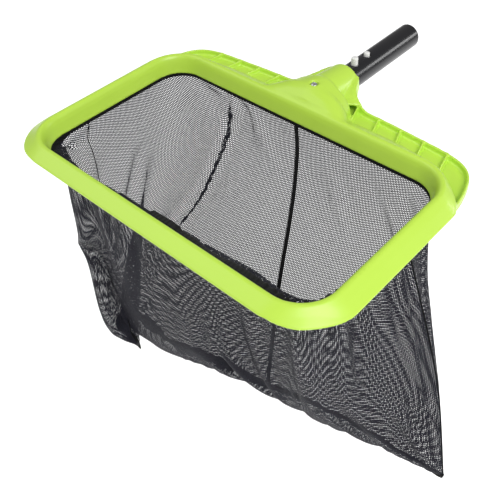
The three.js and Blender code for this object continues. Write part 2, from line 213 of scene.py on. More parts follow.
# ---------------------------------------------------------------- frame
# Where the sloping top of the rim ends (crease) and the wall below it ends (foot).
# Each is a distance out from the ridge, and a height.
RIM = {
    "front": ((19, -7.5), (18.4, -9.6)),
    "front_corner": ((12, -5), (20, -12)),
    "side": ((21, -11), (22, -14.5)),
    "back_corner": ((11, -7), (13, -23.6)),
    "back": ((25, -13), (28, -23.6)),
}
# The wall from the inner skirt over the ridge: out from the ridge, height and half thickness.
RIDGE_WALL = [
    (-4.7, -21.2, 1.2), (-1.9, -8.5, 1.3), (-0.4, -4.3, 1.4), (1.2, -2.4, 1.5), (3.6, -1.9, 1.5),
]
PLATE_HALF = 1.3
FLANGE_FLOOR = (-23.6, -21.0)
FLANGE_FRONT_Y = 84
LIP_TOP = -14.6
LIP_END_TOP = -13.4
WEB_DROP, WEB_HALF = 2.1, 1.5
WEB_START_Y, WEB_WIDEST_Y, WEB_REACH = 150, 170, 50
RIB_COUNT, RIB_PITCH, RIB_FIRST_X, RIB_LEAN, RIB_HALF = 5, 29, 48.0, 7.5, 1.1
RIB_LOW, RIB_RISE = -17.8, 3.1
NECK_END = 192.0
NECK_END_R = 21.0
FLANGE_EDGE = [
    (20, 190), (23, 184), (27.5, 175), (35, 167.5), (45, 163.5), (58, 161.5), (80, 160.5), (103, 158.8),
    (126, 157), (149, 155), (168, 151.5), (182, 145), (192, 134), (198, 119), (202, 102), (205, 82), (208, 60),
]
NECK_RADII = [(118, 15), (126, 21), (135, 24.3), (145, 24.4), (160, 23.6), (180, 22), (192, 21)]
# The shoulder from the ridge to the neck: y, half width, top and underside.
SHOULDER = [
    (111.5, 62, -0.8, -4.5), (116, 60, 4, -6.5), (122, 55, 8.6, -9.5), (130, 50, 12.2, -13.5),
    (134.5, 47.5, 12.4, -18.5), (137, 46, 12.4, -22.5), (150, 41, 11.6, -22.5),
]
TUBE_R = 14.6
TUBE_BORE = 12.4
TUBE_SPAN = (131.0, 324.0)
FINGER_Y, FINGER_R, FINGER_TOP = 209.0, 4.0, TUBE_R + 7.7
LOCK_R, LOCK_TOP = 3.5, TUBE_R + 3.4
PIN_CLEARANCE = 0.9
BOLT_Y, BOLT_R = 135.0, 2.0
HEAD_SEAT_R, HEAD_SEAT_RISE = 4.6, 22.6
NUT_POCKET_R, NUT_POCKET_DROP = 4.7, 21
GAP = 0.3


def rim_at(x, y):
    """Distance out from the ridge line in plan, and the rim's crease and foot there."""
    core = RIDGE_HALF - RIDGE_R
    qx, qy = np.abs(x) - core[0], np.abs(y) - core[1]
    corner = (qx > 0) & (qy > 0)
    out = np.where(corner, np.hypot(qx, qy), np.maximum(qx, qy)) - RIDGE_R
    nx = np.where(corner, qx / np.maximum(np.hypot(qx, qy), 1e-6), (qx >= qy).astype(float))
    ny = np.where(corner, qy / np.maximum(np.hypot(qx, qy), 1e-6), (qx < qy).astype(float)) * np.sign(y + 1e-9)
    angle = np.degrees(np.arctan2(ny, nx))
    station_x = np.where(corner, core[0] + RIDGE_R * nx, np.minimum(np.abs(x), core[0] + RIDGE_R))
    middle = smooth_step(station_x, 175, 100)
    values = []
    for i in (0, 1):
        for k in (0, 1):
            front, front_corner, side, back_corner, back = (RIM[name][i][k] for name in RIM)
            low = front + (front_corner - front) * smooth_step(angle, -90, -50)
            low = low + (side - front_corner) * smooth_step(angle, -42, 0)
            low = low + (back_corner - side) * smooth_step(angle, 0, 45)
            values.append(low + (back - back_corner) * np.where(angle >= 45, middle, 0))
    return out, values


def rim_wall(x, y, z):
    """The ring of the mouth, with how far out from its ridge each point and the rim's foot are."""
    out, (crease_out, crease_z, foot_out, foot_z) = rim_at(x, y)
    nodes = RIDGE_WALL + [
        ((1.7 + crease_out) / 2 - 0.4, 0.42 * crease_z - 1.6, 1.3),
        (crease_out - 1.6, crease_z - 1.4, 1.3),
        (foot_out - 1.3, foot_z + 1.2, 1.2),
    ]
    ring = None
    for (n0, z0, r0), (n1, z1, r1) in zip(nodes[:-1], nodes[1:]):
        bar = stroke(out, z, (n0, z0), (n1, z1), r0, r1)
        ring = bar if ring is None else np.minimum(ring, bar)
    return ring, out, foot_out


def flange_parts(x, y, z, out, foot_out):
    """The rear flange, which is a floor with an upturned lip, and the web that joins its lip to the neck."""
    edge = curve_through(FLANGE_EDGE, 70)
    reach = np.r_[0, np.cumsum(np.linalg.norm(np.diff(edge, axis=0), axis=1))]
    plan_x, plan_y = x[..., 0] + 0 * y[..., 0], y[..., 0] + 0 * x[..., 0]
    off, side, along = (value[..., None] for value in path_distance(plan_x, plan_y, edge))
    edge_x, edge_y = (np.interp(along, reach, edge[:, k]) for k in (0, 1))
    climb = smooth_step(edge_x, 56, NECK_END_R) * 0.8 + smooth_step(edge_y, 160, NECK_END) * 0.2
    lip_top = LIP_TOP + (AXIS_Z + 12 - LIP_TOP) * climb
    lip_top = lip_top + (LIP_END_TOP - lip_top) * smooth_step(edge_y, 128, 62)
    lip_low = FLANGE_FLOOR[0] + 9 * smooth_step(edge_y, 105, 62)
    inward = np.where(side < 0, off, -off)
    lip = np.abs(inward - PLATE_HALF) - PLATE_HALF
    lip = meet(lip, np.maximum(z - lip_top, lip_low - z), 1.6)
    floor = np.abs(z - sum(FLANGE_FLOOR) / 2) - PLATE_HALF
    floor = np.maximum(np.maximum(-inward, foot_out - 2 - out), floor)
    floor = np.maximum(floor, np.maximum(y - NECK_END + 2, FLANGE_FRONT_Y - y))
    web = np.maximum(np.abs(z - lip_top + WEB_DROP) - WEB_HALF, -inward)
    web = np.maximum(web, np.maximum(WEB_START_Y - y, y - NECK_END))
    web = np.maximum(web, np.abs(x) - WEB_REACH + np.abs(y - WEB_WIDEST_Y))
    return join(floor, lip, 2.2), web


def rib_field(x, y, z, index):
    """One rib across the flange, from a foot near the rim to a tip at the lip."""
    foot_x = RIB_FIRST_X + RIB_PITCH * index
    tip_x = foot_x - RIB_LEAN
    foot = (foot_x, 135.5 - 15 * smooth_step(foot_x, 95, 180))
    tip = (tip_x, 160.5 - 7 * smooth_step(tip_x, 40, 170))
    dx, dy = tip[0] - foot[0], tip[1] - foot[1]
    t = np.clip(((x - foot[0]) * dx + (y - foot[1]) * dy) / (dx * dx + dy * dy), 0, 1)
    gap = np.hypot(x - foot[0] - t * dx, y - foot[1] - t * dy)
    top = RIB_LOW + RIB_RISE * t
    return meet(gap - RIB_HALF, np.maximum(z - top, -22 - z), 1.2)


def neck_field(x, y, z):
    """The neck's tapering barrel and the domed shoulder that carries it."""
    rho = np.hypot(x, z - AXIS_Z)
    radius = np.interp(y, *zip(*NECK_RADII))
    barrel = meet(rho - radius, np.maximum(NECK_RADII[0][0] - y, y - NECK_END), 2)
    ys, halves, tops, lows = zip(*SHOULDER)
    half, top, low = (np.interp(y, ys, values) for values in (halves, tops, lows))
    rise = np.clip((z - low) / (top - low), 1e-3, None)
    level = (x / half) ** 2 + rise**2.2
    slope = np.hypot(2 * x / half**2, 2.2 * rise**1.2 / (top - low))
    dome = (level - 1) / np.maximum(slope, 0.01)
    dome = meet(dome, np.maximum(np.maximum(low - z, ys[0] - y), y - ys[-1]), 2)
    return join(barrel, dome, 5)


def frame_field(x, y, z):
    ring, out, foot_out = rim_wall(x, y, z)
    flange, web = flange_parts(x, y, z, out, foot_out)
    field = join(join(ring, flange, 1.6), web, 2.5)
    for index in range(RIB_COUNT):
        field = join(field, rib_field(x, y, z, index), 1.4)
    field = join(field, neck_field(x, y, z), 2.5)

    rho = np.hypot(x, z - AXIS_Z)
    field = cut(field, np.maximum(rho - TUBE_R - GAP, TUBE_SPAN[0] - GAP - y))
    bolt = np.hypot(x, y - BOLT_Y)
    field = cut(field, bolt - BOLT_R - GAP, 0.3)
    field = cut(field, np.maximum(bolt - HEAD_SEAT_R, AXIS_Z + HEAD_SEAT_RISE - z), 0.5)
    return cut(field, np.maximum(bolt - NUT_POCKET_R, z - AXIS_Z + NUT_POCKET_DROP), 0.5)


def build_frame():
    step = 1.4
    piece = solid_from_field(
        "frame_shell", frame_field, (0, -132, -42), (213, 208, 17), step, mirror=True)
    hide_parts("frame")
    return piece


# ---------------------------------------------------------------- spigot, snap clip and screw
CLIP_HALF_WIDTH, CLIP_OFF_AXIS, CLIP_HALF_THICK = 3.5, 10.3, 1.1
CLIP_ARM_SPAN = (203.5, 291.7)
CLIP_BEND_Y = 292
PIN_BASE = 10.4
SCREW_SPAN = (-26.6, 23.5)
SCREW_HEAD_R, SCREW_HEAD_BASE = 3.9, 22.9
SCREW_DOME_RISE, SCREW_DOME_R = 19.6, 5.6
CROSS_REACH, CROSS_HALF, CROSS_BASE = 2.2, 0.5, 23.8


def tube_field(x, y, z):
    rho = np.hypot(x, z - AXIS_Z)
    wall = meet(np.abs(rho - (TUBE_R + TUBE_BORE) / 2) - (TUBE_R - TUBE_BORE) / 2,
                np.maximum(TUBE_SPAN[0] - y, y - TUBE_SPAN[1]), 1.2)
    for place, radius in ((FINGER_Y, FINGER_R), (LOCK_Y, LOCK_R)):
        wall = cut(wall, np.hypot(x, y - place) - radius - PIN_CLEARANCE, 0.6)
    return cut(wall, np.hypot(x, y - BOLT_Y) - BOLT_R - GAP, 0.3)


def arm_field(side):
    def field_of(x, y, z):
        rise = side * (z - AXIS_Z)
        strip = meet(np.maximum(np.abs(x) - CLIP_HALF_WIDTH, np.abs(rise - CLIP_OFF_AXIS) - CLIP_HALF_THICK),
                     np.maximum(CLIP_ARM_SPAN[0] - y, y - CLIP_ARM_SPAN[1]), 0.8)
        for place, radius, top in ((FINGER_Y, FINGER_R, FINGER_TOP), (LOCK_Y, LOCK_R, LOCK_TOP)):
            away = np.hypot(x, y - place)
            pin = meet(away - radius, np.maximum(rise - top, PIN_BASE - rise), 1.8)
            strip = join(strip, pin, 0.5)
        return strip
    return field_of


def bow_field(x, y, z):
    reach = np.hypot(y - CLIP_BEND_Y, z - AXIS_Z)
    strip = np.maximum(np.abs(reach - CLIP_OFF_AXIS) - CLIP_HALF_THICK, np.abs(x) - CLIP_HALF_WIDTH)
    return meet(strip, CLIP_BEND_Y - y, 0.4)


def bolt_field(x, y, z):
    away = np.hypot(x, y - BOLT_Y)
    rise = z - AXIS_Z
    shank = np.maximum(away - BOLT_R, np.maximum(SCREW_SPAN[0] - rise, rise - SCREW_SPAN[1]))
    dome = np.sqrt(away**2 + (rise - SCREW_DOME_RISE) ** 2) - SCREW_DOME_R
    head = meet(np.maximum(dome, SCREW_HEAD_BASE - rise), away - SCREW_HEAD_R, 0.5)
    cross = np.minimum(np.maximum(np.abs(x) - CROSS_REACH, np.abs(y - BOLT_Y) - CROSS_HALF),
                       np.maximum(np.abs(x) - CROSS_HALF, np.abs(y - BOLT_Y) - CROSS_REACH))
    return cut(np.minimum(shank, head), np.maximum(cross, CROSS_BASE - rise), 0.2)


def build_spigot():
    tube = solid_from_field("spigot_shell", tube_field, (-16, 129, -28), (16, 326, 4), 1.0)
    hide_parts("spigot_tube")
    clip = [solid_from_field("clip_bend", bow_field, (-4.5, 290, -25), (4.5, 305, 1), 0.55)]
    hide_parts("clip_bow")
    for name, side, low, high in (("upper", 1, -4, 12), ("lower", -1, -36, -20)):
        arm = solid_from_field(f"clip_{name}", arm_field(side), (-5.5, 202, low), (5.5, 293, high), 0.5,
                               f"{name}_arm")
        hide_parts(f"clip_arm_{name}")
        clip.append(arm)
    bolt = solid_from_field("cross_head_screw", bolt_field, (-5, 130, -40), (5, 140, 14), 0.3)
    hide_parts("neck_bolt")
    return tube, clip, bolt


# ---------------------------------------------------------------- net bag
BAG_COLUMNS = 218  # round the mouth, an even number
BAG_ROWS = 60
FLAT_WIDTH = 545.0  # each panel, cut flat, mm
FLAT_DEEP = 308.0  # back panel
FLAT_DEEP_FRONT = 295.0
THREAD = 0.00016  # the mesh's thickness, m
# How much longer the cloth is than the straight line from hem to seam, as a share of that line.
BACK_EASE, FRONT_EASE, LEFT_EASE, RIGHT_EASE = 1.015, 0.02, 0.03, 0.015
LEAN_SLACK = 8.0
LEAN_DROP = 10
# Ripples along an edge: amplitude in mm, rate and phase.
LEAN_RIPPLE = ((2.0, 0.37, 0), (1.5, 0.21, 1))
SEAM_RIPPLE = ((1.2, 0.33, 0), (0.8, 0.83, 0))
FOLD_PULL, LEAN_PULL = 0.9, 0.8
# The drape: fall per step in mm, share of the speed kept, and how far cloth may reach from its ends.
GRAVITY, DAMPING, TETHER = 0.2, 0.92, 1.005
# At mid height, in mm: how far the panels start out, how rough they start and how far apart they stay.
BELLY, ROUGHNESS, PANEL_GAP = 4, 2, 1.5
# Depth of the bottom binding and of the hem band, and how much deeper each gets at the left or the front, mm.
BINDING_DEEP, BINDING_EXTRA = 7.0, 12.0
HEM_DEEP, HEM_EXTRA = 1.6, 28.0
HEM_OUT = -4.3
HEM_Z = -24.2
HEM_START_Y = 37.0  # where the right side seam meets the right rail
SEAM_PATH = [
    (295, 9, -310), (259, 2, -306), (229, -2, -304), (192, -9, -296), (142, -20, -293), (109, -29, -292),
    (72, -46, -282), (45, -56, -272), (5, -64, -275), (-63, -70, -295), (-122, -66, -298), (-141, -80, -297),
    (-126, -94, -301), (-94, -96, -305),
]
RIGHT_SEAM = [(183.7, 37, -24), (222.7, 36, -121), (251.7, 27, -180), (269, 19, -223), (295, 9, -310)]
# A fold held inside the back panel: how far along it, how far down it, and where.
BACK_FOLD = [
    (0.635, 0.03, -87, 99, -34), (0.65, 0.2, -88, 85, -75), (0.70, 0.44, -109, 60, -140),
    (0.76, 0.68, -153, 10, -195), (0.81, 0.82, -160, -12, -225), (0.85, 0.93, -165, -50, -262),
]
# The cloth turns back under the fold: how much further along, and where that is from the fold, mm.
FOLD_BACK = (-0.024, (-7, 4, -5))
# Round the front the cloth first leans in: the inner edge of that band, in plan, 10 mm below the hem.
LEAN_EDGE = [
    (-180, -74), (-150, -87), (-114, -88), (-50, -85), (5, -79), (38, -75), (71, -73), (101, -74), (129, -76),
    (143, -75), (154, -69), (165, -57), (171, -42), (174, -10), (176, 20),
]


def mouth_path(count):
    """Points on the hem, anticlockwise from the right side seam, evenly spaced."""
    core = RIDGE_HALF - RIDGE_R
    r = RIDGE_R + HEM_OUT
    corners = ((1, 1, 0), (-1, 1, 90), (-1, -1, 180), (1, -1, 270))
    outline = [(core[0] + r, HEM_START_Y)]
    for sx, sy, start in corners:
        for angle in np.radians(np.linspace(start, start + 90, 25)):
            outline.append((sx * core[0] + r * math.cos(angle), sy * core[1] + r * math.sin(angle)))
    outline.append(outline[0])
    outline = np.array(outline)
    reach = np.r_[0, np.cumsum(np.linalg.norm(np.diff(outline, axis=0), axis=1))]
    even = np.arange(count) / count * reach[-1]
    x, y = (np.interp(even, reach, outline[:, k]) for k in (0, 1))
    return np.stack([x, y, np.full(count, HEM_Z)], 1)


def ripple(index, waves):
    return sum(size * np.sin(index * rate + phase) for size, rate, phase in waves)


def soft_noise(shape, rng, reach):
    """Random numbers blurred over about reach neighbours each way, with a spread of 1."""
    noise = rng.normal(size=shape)
    kernel = np.exp(-0.5 * (np.arange(-3 * reach, 3 * reach + 1) / reach) ** 2)
    for axis in (0, 1):
        noise = np.apply_along_axis(lambda line: np.convolve(np.pad(line, 3 * reach, "wrap"), kernel, "valid"),
                                    axis, noise)
    return noise / noise.std()


class Bag:
    """The bag as a tube of cloth: columns run from the hem (row 0) down to the bottom seam (last row)."""

    def __init__(self):
        columns, rows = BAG_COLUMNS, BAG_ROWS
        self.half = columns // 2
        index = np.arange(columns)
        seam = curve_through(SEAM_PATH, self.half + 1)
        self.hem = mouth_path(columns)
        end = seam[np.where(index <= self.half, index, columns - index)]
        level = np.linspace(0, 1, rows + 1)[None, :, None]
        self.points = self.hem[:, None] * (1 - level) + end[:, None] * level
        self.points[0] = curve_through(RIGHT_SEAM, rows + 1)
        self.free = np.ones((columns, rows + 1))
        self.free[:, [0, -1]] = 0
        self.free[0] = 0
        front = index > self.half
        chord = np.linalg.norm(end - self.hem, axis=1)
        ease = np.where(front, 1.0 + FRONT_EASE * smooth_step(end[:, 0], 50, -60), BACK_EASE)
        left, right = smooth_step(end[:, 0], -70, -110), smooth_step(end[:, 0], 190, 270)
        ease += LEFT_EASE * left * front - RIGHT_EASE * right
        self.length = chord * ease + np.where(front, LEAN_SLACK, 0.0)
        self.across = FLAT_WIDTH / self.half
        self.down = (self.length / rows)[:, None]
        self.holds = [self.fold(0, (0, 0, 0)), self.fold(*FOLD_BACK), self.lean()]

    def fold(self, further, offset):
        """Columns, rows and places of the fold in the back panel, or of a line beside it."""
        along, down, x, y, z = np.array(BACK_FOLD).T
        rows = np.arange(round(down[0] * BAG_ROWS), round(down[-1] * BAG_ROWS) + 1)
        level = rows / BAG_ROWS
        places = np.stack([np.interp(level, down, value) for value in (x, y, z)], 1)
        for k in range(3):
            places[:, k] = np.convolve(np.pad(places[:, k], 4, "edge"), np.ones(9) / 9, "valid")
        fade = np.minimum(1, np.minimum(level - level[0], level[-1] - level) / 0.12)[:, None]
        columns = (np.interp(level, down, along) + further) * self.half
        return columns, rows, places + np.array(offset) * fade, FOLD_PULL

    def lean(self):
        """Columns, rows and places of the inner edge of the leaning band."""
        edge = curve_through(LEAN_EDGE, 400)
        columns = np.arange(self.half + 4, BAG_COLUMNS - 2)
        hem = self.hem[columns]
        off = np.linalg.norm(hem[:, None, :2] - edge[None], axis=2)
        nearest = edge[off.argmin(1)]
        places = np.column_stack([nearest, HEM_Z - LEAN_DROP + ripple(columns, LEAN_RIPPLE)])
        reach = np.linalg.norm(places - hem, axis=1)
        rows = np.round(reach / self.down[columns, 0]).astype(int)
        return columns.astype(float), rows, places, LEAN_PULL

    def settle(self, steps, rounds):
        columns, rows = BAG_COLUMNS, BAG_ROWS
        x, free = self.points, self.free
        index = np.arange(columns)
        side = np.where(index > self.half, 1, -1) * ((index > 0) & (index != self.half))
        level = np.linspace(0, 1, rows + 1)
        swell = np.sin(np.pi * level)[None]
        x[..., 1] -= BELLY * side[:, None] * swell
        rng = np.random.default_rng(3)
        for k in range(3):
            x[..., k] += ROUGHNESS * soft_noise((columns, rows + 1), rng, 4) * swell * free
        speed = np.zeros_like(x)
        links = list(self.links())
        for _ in range(steps):
            speed *= DAMPING
            speed[..., 2] -= GRAVITY
            before = x.copy()
            x += speed * free[..., None]
            for turn in range(rounds):
                for a, b, rest, pull, often, one_way in links:
                    if turn % often:
                        continue
                    gap = x[b] - x[a]
                    long = np.linalg.norm(gap, axis=-1)
                    error = np.minimum(long - rest, 0) if one_way else long - rest
                    weight = free[a] + free[b]
                    move = (pull * error / np.maximum(long, 1e-9) / np.maximum(weight, 1e-9))[..., None] * gap
                    x[a] += move * free[a][..., None]
                    x[b] -= move * free[b][..., None]
                for place, down, target, pull in self.holds:
                    first = np.floor(place).astype(int)
                    share = (place - first)[:, None]
                    second = (first + 1) % columns
                    miss = (target - x[first, down] * (1 - share) - x[second, down] * share) * pull
                    x[first, down] += miss * free[first, down][:, None]
                    x[second, down] += miss * (share > 0) * free[second, down][:, None]
                for anchor, reach in ((x[:, :1], level), (x[:, -1:], 1 - level)):
                    gap = x - anchor
                    long = np.linalg.norm(gap, axis=-1)
                    most = TETHER * self.length[:, None] * reach
                    x -= (np.maximum(long - most, 0) / np.maximum(long, 1e-9) * free)[..., None] * gap
                front, back = x[:self.half:-1], x[1:self.half]
                overlap = np.maximum(front[..., 1] - back[..., 1] + PANEL_GAP * swell, 0) / 2
                back[..., 1] += overlap * free[1:self.half]
                front[..., 1] -= overlap * free[:self.half:-1]
            speed = (x - before) * free[..., None]

    def links(self):
        """Pairs of points held apart: threads both ways, weak diagonals, and stiffness against creasing."""
        columns, rows = BAG_COLUMNS, BAG_ROWS
        every = slice(None)
        slant = math.hypot(self.across, FLAT_DEEP / rows)
        for start in (0, 1):
            a = np.arange(start, columns, 2)
            yield (a, every), ((a + 1) % columns, every), self.across, 1.0, 1, False
            r = np.arange(start, rows, 2)
            yield (every, r), (every, r + 1), self.down, 1.0, 1, False
        for start in (0, 1):
            a = np.arange(start, columns, 2)[:, None]
            for row in (0, 1):
                r = np.arange(row, rows, 2)[None]
                b = (a + 1) % columns
                yield (a, r), (b, r + 1), slant, 0.15, 1, False
                yield (b, r), (a, r + 1), slant, 0.15, 1, False
        for reach, share, pull in ((2, 1.0, 0.2), (4, 0.975, 0.15)):
            for start in range(2 * reach):
                a = np.arange(start, columns - columns % (2 * reach), 2 * reach)
                other = (a + reach) % columns
                yield (a, every), (other, every), reach * share * self.across, pull, 3, reach == 4
                r = np.arange(start, rows + 1 - reach, 2 * reach)
                if len(r):
                    yield (every, r), (every, r + reach), reach * share * self.down, pull, 3, reach == 4

    def panel(self, side):
        """A panel's points: columns from the right side seam to the left one. side is -1 for the front."""
        if side > 0:
            return self.points[:self.half + 1]
        return np.concatenate([self.points[:1], self.points[:self.half - 1:-1]])


def finer(grid):
    """A grid of points with smooth halfway rows and columns put in."""
    for axis in (0, 1):
        g = np.moveaxis(grid, axis, 0)
        ends = np.concatenate([2 * g[:1] - g[1:2], g, 2 * g[-1:] - g[-2:-1]])
        middle = (9 * (g[:-1] + g[1:]) - ends[:-3] - ends[3:]) / 16
        out = np.empty((2 * len(g) - 1,) + g.shape[1:])
        out[::2] = g
        out[1::2] = middle
        grid = np.moveaxis(out, 0, axis)
    return grid


def grid_faces(columns, rows):
    i, j = np.meshgrid(np.arange(columns - 1), np.arange(rows - 1), indexing="ij")
    a = (i * rows + j).ravel()
    return np.stack([a, a + rows, a + rows + 1, a + 1], 1)


def cloth_piece(name, grid, flat):
    """A sheet from a grid of points, with UVs in metres along the cloth."""
    columns, rows = grid.shape[:2]
    piece = make_mesh(name, to_part(grid.reshape(-1, 3)), grid_faces(columns, rows))
    layer = piece.data.uv_layers.new(name="cloth")
    corner = np.empty(len(piece.data.loops), np.int32)
    piece.data.loops.foreach_get("vertex_index", corner)
    u = (corner // rows) / (columns - 1) * flat[0]
    v = (corner % rows) / (rows - 1) * flat[1]
    layer.data.foreach_set("uv", np.stack([u, v], 1).ravel())
    return piece


def normals_of(grid):
    across = np.gradient(grid, axis=0)
    down = np.gradient(grid, axis=1)
    normal = np.cross(across, down)
    return normal / np.maximum(np.linalg.norm(normal, axis=-1, keepdims=True), 1e-9)


def band_piece(name, centre, sideways, out, width, thick):
    """A flat strip with a rounded section along a line of points. sideways and out are unit vectors there."""
    count = len(centre)
    width = np.broadcast_to(width, count)
    steps = 14
    angle = np.linspace(0, 2 * math.pi, steps, endpoint=False)
    across = np.sign(np.cos(angle)) * np.abs(np.cos(angle)) ** 0.35
    up = np.sign(np.sin(angle)) * np.abs(np.sin(angle)) ** 0.7
    rings = (centre[:, None] + sideways[:, None] * (across[None, :, None] * (width / 2)[:, None, None])
             + out[:, None] * (up[None, :, None] * (thick / 2)))
    vertices = rings.reshape(-1, 3)
    faces = []
    for i in range(count - 1):
        for j in range(steps):
            near, far = i * steps, (i + 1) * steps
            faces.append([near + j, near + (j + 1) % steps, far + (j + 1) % steps, far + j])
    faces.append(list(range(steps)))
    faces.append([(count - 1) * steps + j for j in reversed(range(steps))])
    return make_mesh(name, to_part(vertices), faces)


def unit(vectors):
    return vectors / np.maximum(np.linalg.norm(vectors, axis=-1, keepdims=True), 1e-9)


def along_sheet(grid, column, name, width, thick):
    """A tape sewn down one column of a sheet, which may fall between two of its columns."""
    first = min(math.floor(column), len(grid) - 2)
    share = column - first
    line = (grid[first] * (1 - share) + grid[first + 1] * share)[1:]
    out = normals_of(grid)[first, 1:]
    forward = unit(np.gradient(line, axis=0))
    return band_piece(name, line, unit(np.cross(forward, out)), out, width, thick)


def build_bag():
    bag = Bag()
    bag.settle(50, 10)
    pieces = []
    flats = {1: (FLAT_WIDTH, FLAT_DEEP), -1: (FLAT_WIDTH, FLAT_DEEP_FRONT)}
    grids = {}
    for side, name in ((-1, "front"), (1, "back")):
        grids[side] = finer(bag.panel(side))
        flat = tuple(length * MM for length in flats[side])
        panel = cloth_piece(f"mesh_{name}", grids[side], flat)
        threads = panel.modifiers.new("thread", "SOLIDIFY")
        threads.thickness = THREAD
        threads.offset = 0
        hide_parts(f"net_panel_{name}")
        pieces.append(panel)
    back, front = grids[1], grids[-1]
    middle = np.interp(0, -back[:, 0, 0], np.arange(len(back)))
    centre = along_sheet(back, middle, "centre_binding", 5.0, 1.8)
    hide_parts("centre_seam_tape")
    seam = back[:, -1]
    forward = unit(np.gradient(seam, axis=0))
    hang = unit((back[:, -1] - back[:, -6]) + (front[:, -1] - front[:, -6]))
    hang = unit(hang - forward * np.sum(hang * forward, axis=1, keepdims=True))
    wave = ripple(np.arange(len(seam)), SEAM_RIPPLE)
    side_out = np.cross(forward, hang)
    deep = BINDING_DEEP + BINDING_EXTRA * smooth_step(seam[:, 0], 80, -20)
    bottom = band_piece("bottom_binding", seam + side_out * wave[:, None] * 0.6, hang, side_out, deep, 2.4)
    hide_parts("bottom_seam_tape")
    tapes = [centre, bottom]
    for column, name in ((0, "right"), (len(back) - 1, "left")):
        tapes.append(along_sheet(back, column, f"side_seam_{name}", 1.4, 1.2))
    loop = np.concatenate([back, front[-2:0:-1]])
    ring = np.concatenate([loop, loop[:2]])
    rim = ring[:, 0]
    down = unit(ring[:, 12] - ring[:, 0])
    ahead = unit(np.gradient(rim, axis=0))
    out = unit(np.cross(ahead, down))
    deep = HEM_DEEP + HEM_EXTRA * smooth_step(rim[:, 1], -60, -103)
    tapes.append(band_piece("hem_band", rim + down * (deep / 2)[:, None] + out * 0.4, down, out, deep, 1.8))
    return pieces, tapes


# ---------------------------------------------------------------- materials
class Nodes:
    """A short way to write a material's nodes."""

    def __init__(self, name):
        self.material = bpy.data.materials.new(name)
        self.material.use_nodes = True
        self.tree = self.material.node_tree
        self.shader = self.tree.nodes["Principled BSDF"]

    def add(self, kind, inputs=None, **settings):
        node = self.tree.nodes.new(kind)
        for key, value in settings.items():
            setattr(node, key, value)
        for key, value in (inputs or {}).items():
            self.put(node.inputs[key], value)
        return node

    def put(self, socket, value):
        if isinstance(value, bpy.types.NodeSocket):
            self.tree.links.new(value, socket)
        else:
            socket.default_value = value

    def math(self, operation, a, b=0.0):
        return self.add("ShaderNodeMath", {0: a, 1: b}, operation=operation).outputs[0]

    def noise(self, scale, detail=3.0, vector=None):
        node = self.add("ShaderNodeTexNoise", {"Scale": scale, "Detail": detail})
        self.put(node.inputs["Vector"], vector or self.add("ShaderNodeTexCoord").outputs["Object"])
        return node.outputs["Fac"]

    def blend(self, factor, a, b):
        ramp = self.add("ShaderNodeValToRGB", {"Fac": factor})
        ramp.color_ramp.elements[0].color = (*a, 1)
        ramp.color_ramp.elements[1].color = (*b, 1)
        return ramp.outputs["Color"]

    def bump(self, height, strength, distance):
        node = self.add("ShaderNodeBump", {"Height": height, "Strength": strength, "Distance": distance})
        self.put(self.shader.inputs["Normal"], node.outputs["Normal"])

    def set(self, **values):
        names = {"color": "Base Color", "roughness": "Roughness", "metallic": "Metallic", "alpha": "Alpha",
                 "coat": "Coat Weight", "coat_roughness": "Coat Roughness", "sheen": "Sheen Weight",
                 "sheen_roughness": "Sheen Roughness", "specular": "Specular IOR Level"}
        for key, value in values.items():
            if key == "color" and not isinstance(value, bpy.types.NodeSocket):
                value = (*value, 1)
            self.put(self.shader.inputs[names[key]], value)


def moulded_plastic(name, light, dark, roughness, coat=0.0):
    """Injection-moulded plastic: faint cloudiness in the colour and a fine eggshell in the gloss."""
    m = Nodes(name)
    cloud = m.noise(22.0, 4.0)
    fine = m.noise(900.0, 2.0)
    m.set(color=m.blend(cloud, dark, light), coat=coat, coat_roughness=0.15,
          roughness=m.math("ADD", m.math("MULTIPLY", cloud, 0.1), roughness - 0.05))
    m.bump(fine, 0.12, 0.0002)
    return m.material


MESH_PITCH = 0.0021
TAPE_PITCH = 0.0012


def net_mesh():
    """Knitted mesh: black threads round hexagonal holes."""
    m = Nodes("net_mesh")
    uv = m.add("ShaderNodeUVMap", uv_map="cloth").outputs["UV"]
    split = m.add("ShaderNodeSeparateXYZ", {"Vector": uv})
    u, v = split.outputs["X"], split.outputs["Y"]
    waves = []
    for angle in (0, 60, 120):
        turn = math.radians(angle)
        k = 2 * math.pi / (MESH_PITCH * math.cos(math.radians(30)))
        place = m.math("ADD", m.math("MULTIPLY", u, k * math.cos(turn)),
                       m.math("MULTIPLY", v, k * math.sin(turn)))
        waves.append(m.math("COSINE", place))
    height = m.math("ADD", m.math("ADD", waves[0], waves[1]), waves[2])
    thread = m.add("ShaderNodeMapRange", {"Value": height, "From Min": 0.5, "From Max": 0.74,
                                          "To Min": 1.0, "To Max": 0.0})
    solid = thread.outputs["Result"]
    m.set(color=m.blend(m.noise(60.0), (0.012, 0.012, 0.019), (0.024, 0.024, 0.036)), roughness=0.55,
          sheen=0.03, sheen_roughness=0.4, specular=0.12, alpha=solid)
    m.bump(height, 0.5, 0.0004)
    return m.material


def woven_tape(name):
    m = Nodes(name)
    place = m.add("ShaderNodeTexCoord").outputs["Object"]
    weave = m.add("ShaderNodeTexWave", {"Vector": place, "Scale": 1 / TAPE_PITCH / 6.28, "Distortion": 2.0,
                                        "Detail": 2.0}, bands_direction="DIAGONAL").outputs["Fac"]
    m.set(color=m.blend(weave, (0.002, 0.002, 0.002), (0.009, 0.009, 0.01)), roughness=0.8,
          sheen=0.05, sheen_roughness=0.5, specular=0.15)
    m.bump(weave, 0.6, 0.0004)
    return m.material


